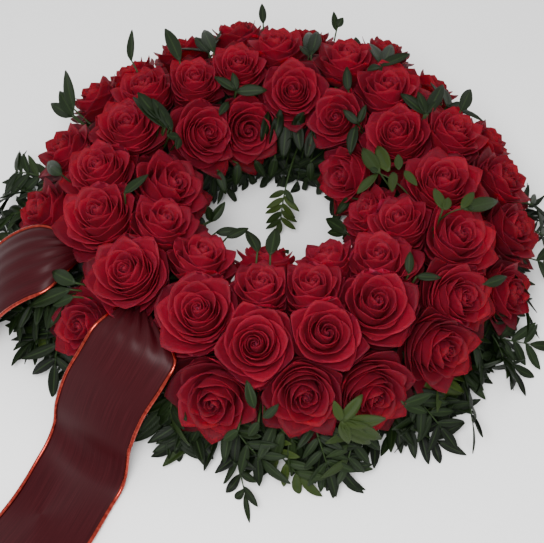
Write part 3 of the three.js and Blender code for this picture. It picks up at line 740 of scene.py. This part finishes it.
def add_sprig(skin, root, guide, tip, pairs, tone, fit, roll=0.0, size=1.0):
    path = bend(root, guide, tip, SPRIG_STATIONS)
    last = SPRIG_STATIONS - 1
    length = np.linalg.norm(np.diff(path, axis=0), axis=1).sum()
    points, faces = tube(path, np.linspace(*SPRIG_STALK, SPRIG_STATIONS), STALK_SIDES)
    skin.add(points, faces, LEAF_FINISH, height=0.5, across=0.0, tone=tone)
    side = unit(np.cross(guide - root, tip - guide))
    spacing = min(LEAFLET_SPACING * size, 0.64 * length / max(pairs, 1))
    for number in range(2 * pairs + 1):
        at_tip = number == 2 * pairs
        back = 0.0 if at_tip else (0.35 + number // 2) * spacing + 0.002 * (number % 2)
        place = np.clip(1.0 - back / length, 0.0, 1.0) * last
        low = min(int(place), last - 1)
        foot = path[low] + (place - low) * (path[low + 1] - path[low])
        ahead = unit(path[low + 1] - path[low])
        face = np.cross(ahead, side)
        across = unit(side * math.cos(roll) + face * math.sin(roll))
        face = np.cross(ahead, across)
        lean = 0.0 if at_tip else math.radians(rng.uniform(40, 62)) * (1 if number % 2 else -1)
        along = ahead * math.cos(lean) + across * math.sin(lean)
        along = unit(along + face * rng.uniform(-0.12, 0.20))
        leaf_size = size * rng.uniform(0.8, 1.12)
        add_leaflet(skin, foot, along, np.cross(face, along), face, leaf_size, tone, fit)


def above_table(points):
    """Points near the table, or under it, are eased to just above it."""
    low = 2.0 * TABLE_CLEARANCE
    high = points[:, 2]
    eased = TABLE_CLEARANCE * (1.0 + np.exp((high - low) / low))
    points[:, 2] = np.where(high < low, eased, high)
    return points


def on_top(points):
    return above_table(laid_on_blooms(points))


FORWARD_AND_UP = np.array([0.0, -0.7, 0.8])


def add_single_leaf(skin, foot, tip, outward, tone, fit):
    """A leaf that faces outward, or forward and up where it stands on a flank or points outward itself."""
    along = unit(tip - foot)
    if outward[2] < 0.62 or abs(along @ outward) > 0.75:
        outward = unit(0.3 * outward + FORWARD_AND_UP)
    across = unit(np.cross(along, outward))
    size = np.linalg.norm(tip - foot) / LEAFLET_LENGTH
    add_leaflet(skin, foot, along, across, np.cross(across, along), size, tone, fit,
                SINGLE_LEAF_BREADTH, SINGLE_LEAF_VARIETY)


def sector_of(bearing):
    return int((bearing % 360.0) // (360.0 / SECTORS))


LEAF_GREEN = leaf_material(
    "leathery_leaf", dark=(0.0014, 0.0029, 0.0009), light=(0.0068, 0.0144, 0.0032), rib=(0.016, 0.03, 0.008))
BED_GREEN = leaf_material(
    "leaf_stubs", dark=(0.001, 0.003, 0.0015), light=(0.004, 0.008, 0.003), rib=(0.004, 0.008, 0.003))
foliage = [Skin() for _ in range(SECTORS)]

# The bed over the foam, lumpy with stubs
for sector, skin in enumerate(foliage):
    span = 360.0 / SECTORS
    bearings = np.linspace(sector * span + 0.1, (sector + 1) * span - 0.1, BED_STUBS)
    section = [(dome(-90, BED_OFFSET)[0], TRAY_LIP + BED_THICKNESS)]
    section += [dome(tilt, BED_OFFSET) for tilt in range(-90, 91, 15)]
    section += [(dome(90, BED_OFFSET)[0], TRAY_LIP + BED_THICKNESS)]
    grid = np.array([[on_ring(bearing, *spot) for spot in section] for bearing in bearings])
    lumps = rng.uniform(-BED_LUMP, BED_LUMP, grid.shape[:2])
    lumps[[0, -1]] = 0.0
    grid = grid + lumps[..., None] * unit(np.ones(3))
    skin.add(blade(grid, BED_THICKNESS), closed_grid_faces(*grid.shape[:2]), BED_FINISH, height=0.5,
             across=0.5, tone=np.tile(rng.uniform(0.0, 1.0, lumps.size), 2))

# Short leaves from the bed, between the rose stems
for number in range(BED_LEAVES):
    bearing = number * 360.0 / BED_LEAVES + rng.uniform(-3.0, 3.0)
    tilt = rng.uniform(-50.0, 84.0)
    slope = math.radians(tilt)
    turn = math.radians(rng.uniform(-60.0, 60.0))
    outward = radial(bearing) * math.sin(slope) + UP * math.cos(slope)
    downhill = radial(bearing) * math.cos(slope) - UP * math.sin(slope)
    along = downhill * math.cos(turn) + np.cross(UP, radial(bearing)) * math.sin(turn)
    along = unit(along + outward * rng.uniform(0.15, 0.55))
    across = unit(np.cross(along, outward))
    foot = on_ring(bearing, *dome(tilt, BED_OFFSET))
    add_leaflet(foliage[sector_of(bearing)], foot, along, across, np.cross(across, along),
                rng.uniform(0.85, 1.15), rng.uniform(0.0, 0.5), above_table)

for root_bearing, root_tilt, tip_bearing, tip_tilt, reach, pairs, tone, size in TOP_SPRIGS:
    root = in_foam(root_bearing, root_tilt)
    guide = on_hearts(root_bearing, root_tilt, max(1.02, reach - 0.05))
    tip = on_hearts(tip_bearing, tip_tilt, reach)
    add_sprig(foliage[sector_of(root_bearing)], root, guide, tip, pairs, tone, on_top, 0.0, size)

for tone, leaves in LEAF_BUNCHES:
    for number, leaf in enumerate(leaves):
        foot_bearing, foot_tilt, foot_reach = leaf[:3]
        foot = on_hearts(*leaf[:3])
        tip = on_hearts(*leaf[3:])
        outward = unit(foot - on_ring(foot_bearing, RING_RADIUS, SECTION_HEIGHT))
        skin = foliage[sector_of(foot_bearing)]
        clear_of_blooms = foot_reach >= CLEAR_REACH
        add_single_leaf(skin, foot, tip, outward, tone, above_table if clear_of_blooms else on_top)
        if clear_of_blooms and number > 0:
            continue
        root = in_foam(foot_bearing, foot_tilt)
        stalk = bend(root, (root + foot) / 2, foot, 4)
        points, faces = tube(stalk, [LEAF_STALK] * len(stalk), STALK_SIDES)
        skin.add(points, faces, LEAF_FINISH, height=0.5, across=0.0, tone=tone)

# The skirt on the table: sprigs in three layers, then single leaves among them
for number in range(SKIRT_SPRIGS):
    bearing = number * 360.0 / SKIRT_SPRIGS + rng.uniform(-1.6, 1.6)
    layer = number % len(SKIRT_RISE)
    beside_tail = between(bearing, TAIL_OVER_SPRIGS)
    spread = np.interp(bearing, SKIRT_BEARINGS, SKIRT_REACH)
    reach = TAIL_SPRIG_REACH if beside_tail else spread + rng.uniform(-0.02, 0.018) - 0.008 * layer
    rise = SKIRT_RISE[layer] + rng.uniform(-0.004, 0.004)
    sway = rng.uniform(-13.0, 13.0)
    if between(bearing, TAIL_TURNS_SPRIGS):
        sway = math.copysign(sway, bearing - TAIL_BEARING)
    root = on_ring(bearing, dome(90, 0.0)[0], rise)
    out = TAIL_SPRIG_GUIDE if beside_tail else SKIRT_GUIDE
    guide = on_ring(bearing + sway / 3, out, rise + 0.002 + 0.004 * layer)
    tip = on_ring(bearing + sway, reach, rng.uniform(0.004, 0.014) + 0.009 * layer)
    is_young = number % YOUNG_EVERY == YOUNG_FIRST
    tone = YOUNG_TONE if is_young else rng.uniform(0.0, 0.65)
    add_sprig(foliage[sector_of(bearing)], root, guide, tip, 3 if beside_tail else 4, tone, above_table,
              rng.uniform(-0.7, 0.7), rng.uniform(0.9, 1.15))

for number in range(SKIRT_LEAVES):
    bearing = number * 360.0 / SKIRT_LEAVES + rng.uniform(-2.0, 2.0)
    turn = bearing + rng.uniform(-62.0, 62.0)
    last_foot = TAIL_LEAF_LAST_FOOT if between(bearing, TAIL_OVER_LEAVES) else LEAF_LAST_FOOT
    start = rng.uniform(LEAF_FIRST_FOOT, last_foot)
    inward = (SKIRT_EDGE - start) / (SKIRT_EDGE - LEAF_FIRST_FOOT)
    foot = on_ring(bearing, start, rng.uniform(0.012, 0.062) * inward)
    along = unit(radial(turn) - UP * rng.uniform(0.0, 0.7))
    across = unit(np.cross(along, unit(UP + 0.5 * radial(turn) + 0.4 * radial(rng.uniform(0, 360)))))
    skin = foliage[sector_of(bearing)]
    add_leaflet(skin, foot, along, across, np.cross(across, along), rng.uniform(0.85, 1.2),
                rng.uniform(0.0, 0.6), above_table)

# Loose leaves that lie before the skirt, between the two tails
for _ in range(LEFT_FRONT_LEAVES):
    bearing = rng.uniform(LEFT_FRONT_BEARINGS[0], LEFT_FRONT_BEARINGS[-1])
    last_foot = np.interp(bearing, LEFT_FRONT_BEARINGS, LEFT_FRONT_REACH)
    start = rng.uniform(LEFT_FRONT_FIRST_FOOT, last_foot)
    along = unit(radial(bearing + rng.uniform(-80.0, 80.0)) - UP * rng.uniform(-0.1, 0.4))
    across = unit(np.cross(along, unit(UP + 0.5 * radial(rng.uniform(0, 360)))))
    foot = on_ring(bearing, start, rng.uniform(0.008, 0.036))
    add_leaflet(foliage[sector_of(bearing)], foot, along, across, np.cross(across, along),
                rng.uniform(0.8, 1.1), rng.uniform(0.0, 0.6), above_table)

# Short sprigs that hang down round the hole
for number in range(HOLE_SPRIGS):
    bearing = number * 360.0 / HOLE_SPRIGS + rng.uniform(-2.0, 2.0)
    rise = rng.uniform(0.045, 0.070)
    root = on_ring(bearing, dome(-90, 0.0)[0], rise - 0.012)
    guide = on_ring(bearing, HOLE_GUIDE, rise)
    tip = on_ring(bearing + rng.uniform(-9, 9), rng.uniform(0.082, 0.096), rng.uniform(0.010, 0.028))
    add_sprig(foliage[sector_of(bearing)], root, guide, tip, 2, rng.uniform(0.0, 0.5), above_table,
              rng.uniform(-0.3, 0.3), rng.uniform(0.8, 1.0))

for sector, skin in enumerate(foliage):
    greenery = make_piece(f"foliage_{sector + 1}", skin, [LEAF_GREEN, BED_GREEN])
    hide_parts(f"greenery_{sector + 1}")

# The two tails are cut from one burgundy satin ribbon with a fine lengthwise streak and a copper wire woven
# into each edge. Each is gathered and pinned under a rose, falls over the flank and lies on the table.
# A row is the place from the ring's middle and the width in mm, the bearing of the run, and the crown in mm.
FRONT_TAIL = [
    (-130, -138, 80, 26, 238, 0), (-126, -145, 101, 34, 240, 3), (-126, -178, 106, 80, 243, 7),
    (-140, -198, 90, 85, 241, 7), (-157, -213, 65, 85, 238, 5), (-168, -229, 41, 85, 236, 3),
    (-172, -240, 21, 85, 236, 2), (-177, -252, 7, 85, 238, 1), (-186, -269, 1.4, 85, 239, 0),
    (-205, -309, 1.4, 85, 238, 0), (-236, -356, 1.4, 85, 235, 0), (-270, -398, 1.4, 85, 231, 0),
    (-302, -436, 1.4, 85, 230, 0),
]
LEFT_TAIL = [
    (-184, -62, 74, 20, 196, 0), (-190, -67, 90, 27, 195, 3), (-204, -75, 98, 52, 193, 5),
    (-222, -81, 98, 76, 191, 7), (-244, -84, 90, 82, 190, 7), (-268, -87, 71, 84, 190, 6),
    (-292, -93, 40, 85, 192, 2), (-312, -99, 12, 85, 196, 1), (-334, -107, 1.4, 85, 200, 0),
    (-386, -127, 1.4, 85, 204, 0), (-436, -151, 1.4, 85, 207, 0), (-480, -176, 1.4, 85, 210, 0),
]
RIBBON_WIDTH = 0.085
RIBBON_THICKNESS = 0.0005
RIBBON_NOTCH = 0.026
EDGE_WIRE_RADIUS = 0.0019
EDGE_WIRE_SIDES = 8
EDGE_WIRE_LIFT = 0.0002
PLEATS = 5
PLEAT_DEPTH = 0.13
CURVE_STEPS = 800
TABLE_GAP = 0.0012
LYING_BELOW = 0.02
RIPPLE_HEIGHT = 0.0016
RIPPLE_TURNS = 38.0
NOTCH_FROM_END = 0.06
RIBBON_FINISH = 0
TAIL_ALONG = 100
TAIL_ACROSS = 31


def through_rows(rows, count):
    """The rows' columns on a smooth curve through them, evenly spaced, and the curve's length."""
    rows = np.array(rows, dtype=float)
    padded = np.concatenate([[2 * rows[0] - rows[1]], rows, [2 * rows[-1] - rows[-2]]])
    dense = np.linspace(0.0, len(rows) - 1.0, CURVE_STEPS)
    low = np.minimum(dense.astype(int), len(rows) - 2)
    share = (dense - low)[:, None]
    before, this, then, after = (padded[low + step] for step in range(4))
    curve = 0.5 * (2 * this + (then - before) * share
                   + (2 * before - 5 * this + 4 * then - after) * share ** 2
                   + (3 * this - before - 3 * then + after) * share ** 3)
    steps = np.linalg.norm(np.diff(curve[:, :3], axis=0), axis=1)
    gone = np.concatenate([[0.0], np.cumsum(steps)])
    even = np.linspace(0.0, gone[-1], count)
    evened = np.stack([np.interp(even, gone, column) for column in curve.T], axis=-1)
    return evened, gone[-1] / MM_PER_M


def tail_grid(rows):
    """The sheet's points, with each point's way along the ribbon and across it, and the ribbon's length."""
    path, length = through_rows(rows, TAIL_ALONG)
    place = RING_MIDDLE + path[:, :3] / MM_PER_M
    width = np.minimum(path[:, 3:4] / MM_PER_M, RIBBON_WIDTH)
    bearings = path[:, 4]
    crown = path[:, 5:6] / MM_PER_M
    ahead = np.gradient(place, axis=0)
    ahead /= np.linalg.norm(ahead, axis=1, keepdims=True)
    side = np.array([np.cross(radial(bearing), UP) for bearing in bearings])
    normal = np.cross(side, ahead)
    normal /= np.linalg.norm(normal, axis=1, keepdims=True)
    share = np.linspace(-1.0, 1.0, TAIL_ACROSS)[None, :]
    slack = np.sqrt(np.maximum((RIBBON_WIDTH / width) ** 2 - 1.0, 0.0))
    pleat = PLEAT_DEPTH * slack * width / PLEATS
    rise = crown * (0.5 - share ** 2) + pleat * np.cos(math.pi * PLEATS * share)
    far = np.linspace(0.0, length, TAIL_ALONG)[:, None]
    lying = smooth((LYING_BELOW - place[:, 2:3]) / LYING_BELOW)
    ripple = RIPPLE_HEIGHT * (1 + np.sin(far * RIPPLE_TURNS + 1.4 * share)) * (0.4 + share ** 2)
    rise = rise + lying * ripple
    near_end = smooth((far - length + NOTCH_FROM_END) / NOTCH_FROM_END)
    trim = RIBBON_NOTCH * (1.0 - np.abs(share)) * near_end
    grid = (place[:, None, :] + (share * width / 2.0)[..., None] * side[:, None, :]
            + rise[..., None] * normal[:, None, :] - trim[..., None] * ahead[:, None, :])
    grid[..., 2] = np.maximum(grid[..., 2], TABLE_GAP)
    return grid, far - trim, np.broadcast_to(share, grid.shape[:2]), length


def satin_material():
    material, nodes, links, shader = new_material("burgundy_satin")
    place = nodes.new("ShaderNodeCombineXYZ")
    links.new(painted(nodes, "across"), place.inputs["X"])
    stretched = worked_out(nodes, links, "MULTIPLY", painted(nodes, "height"), 0.35)
    links.new(stretched.outputs[0], place.inputs["Y"])
    streaks = nodes.new("ShaderNodeTexNoise")
    streaks.inputs["Scale"].default_value = 55.0
    streaks.inputs["Detail"].default_value = 4.0
    links.new(place.outputs["Vector"], streaks.inputs["Vector"])
    ramp = colour_ramp(nodes, (0.3, (0.019, 0.0014, 0.0026)), (0.5, (0.025, 0.0021, 0.0036)),
                       (0.72, (0.035, 0.0042, 0.0062)))
    links.new(streaks.outputs["Fac"], ramp.inputs["Fac"])
    links.new(ramp.outputs["Color"], shader.inputs["Base Color"])
    shader.inputs["Roughness"].default_value = 0.42
    shader.inputs["Specular IOR Level"].default_value = 0.09
    shader.inputs["Sheen Weight"].default_value = 0.01
    shader.inputs["Sheen Roughness"].default_value = 0.35
    shader.inputs["Sheen Tint"].default_value = (0.9, 0.45, 0.5, 1.0)
    shader.inputs["Anisotropic"].default_value = 0.5
    add_bump(nodes, links, shader, streaks.outputs["Fac"], strength=0.25, distance=0.0003)
    return material


def wired_edge_material():
    material, nodes, links, shader = new_material("copper_wired_edge")
    place = nodes.new("ShaderNodeCombineXYZ")
    links.new(painted(nodes, "height"), place.inputs["X"])
    links.new(painted(nodes, "across"), place.inputs["Y"])
    weave = nodes.new("ShaderNodeTexNoise")
    weave.inputs["Scale"].default_value = 260.0
    links.new(place.outputs["Vector"], weave.inputs["Vector"])
    ramp = colour_ramp(nodes, (0.3, (0.16, 0.014, 0.011)), (0.7, (0.34, 0.05, 0.034)))
    links.new(weave.outputs["Fac"], ramp.inputs["Fac"])
    links.new(ramp.outputs["Color"], shader.inputs["Base Color"])
    shader.inputs["Metallic"].default_value = 1.0
    shader.inputs["Roughness"].default_value = 0.24
    add_bump(nodes, links, shader, weave.outputs["Fac"], strength=0.4, distance=0.0004)
    return material


SATIN = satin_material()
COPPER_EDGE = wired_edge_material()
TAIL_FACES = closed_grid_faces(TAIL_ALONG, TAIL_ACROSS)
for name, rows in (("tail_front", FRONT_TAIL), ("tail_left", LEFT_TAIL)):
    grid, far, share, length = tail_grid(rows)
    skin = Skin()
    skin.add(blade(grid, RIBBON_THICKNESS), TAIL_FACES, RIBBON_FINISH,
             height=np.tile(far.ravel(), 2), across=np.tile(share.ravel(), 2))
    tail = make_piece(f"satin_{name}", skin, [SATIN])
    wires = Skin()
    for column in (0, -1):
        path = grid[:, column] + UP * EDGE_WIRE_LIFT
        path[:, 2] = np.maximum(path[:, 2], EDGE_WIRE_RADIUS + EDGE_WIRE_LIFT)
        points, faces = tube(path, [EDGE_WIRE_RADIUS] * TAIL_ALONG, EDGE_WIRE_SIDES)
        run = np.concatenate([np.repeat(far[:, column], EDGE_WIRE_SIDES), far[[0, -1], column]])
        wires.add(points, faces, RIBBON_FINISH, height=run, across=float(column))
    edges = make_piece(f"wire_edges_{name}", wires, [COPPER_EDGE])
    for piece in (tail, edges):
        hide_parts(f"ribbon_{name}")

# The wreath lies loose on a plain pale table, painted matt, in a bright white room. Two soft lights hang
# before and above it, the further one behind the camera, which looks down at it from the front.
TABLE_HALF = 20.0
TABLE_COLOURS = (0.92, 0.92, 0.92), (0.95, 0.95, 0.95)
ROOM_STRENGTH = 1.25
WREATH_HEART = (0.0, 0.0, 0.05)
CAMERA_PLACE = (-0.0057, -0.6077, 0.8233)
CAMERA_LOOKS_DOWN = 55.0
CAMERA_LENS_MM = 63.1
CAMERA_SENSOR_MM = 36.0
corners = [(x * TABLE_HALF, y * TABLE_HALF, 0.0) for x, y in ((-1, -1), (1, -1), (1, 1), (-1, 1))]
table_mesh = bpy.data.meshes.new("table")
table_mesh.from_pydata(corners, [], [(0, 1, 2, 3)])
table = bpy.data.objects.new("table", table_mesh)
bpy.context.collection.objects.link(table)
PALE_TABLE = grained_material("pale_table", TABLE_COLOURS, scale=6.0, roughness=0.7, distance=0.0001)
table_mesh.materials.append(PALE_TABLE)


def soft_light(name, place, size, watts):
    data = bpy.data.lights.new(name, "AREA")
    data.shape = "DISK"
    data.size = size
    data.energy = watts
    light = bpy.data.objects.new(name, data)
    light.location = RING_MIDDLE + np.array(place)
    aim = unit(np.array(WREATH_HEART) - np.array(place))
    light.rotation_euler = (math.acos(-aim[2]), 0.0, math.atan2(aim[0], -aim[1]) + math.pi)
    bpy.context.collection.objects.link(light)


soft_light("ceiling_light", (-0.16, -0.50, 0.92), size=0.45, watts=8.0)
soft_light("front_light", (-0.12, -0.80, 1.10), size=0.5, watts=10.0)
world = bpy.data.worlds.new("room")
world.use_nodes = True
background = world.node_tree.nodes["Background"]
background.inputs["Color"].default_value = (1.0, 1.0, 1.0, 1.0)
background.inputs["Strength"].default_value = ROOM_STRENGTH
bpy.context.scene.world = world

camera_data = bpy.data.cameras.new("camera")
camera_data.sensor_fit = "HORIZONTAL"
camera_data.sensor_width = CAMERA_SENSOR_MM
camera_data.lens = CAMERA_LENS_MM
camera = bpy.data.objects.new("camera", camera_data)
camera.location = RING_MIDDLE + np.array(CAMERA_PLACE)
camera.rotation_euler = (math.radians(90.0 - CAMERA_LOOKS_DOWN), 0.0, 0.0)
bpy.context.collection.objects.link(camera)
bpy.context.scene.camera = camera
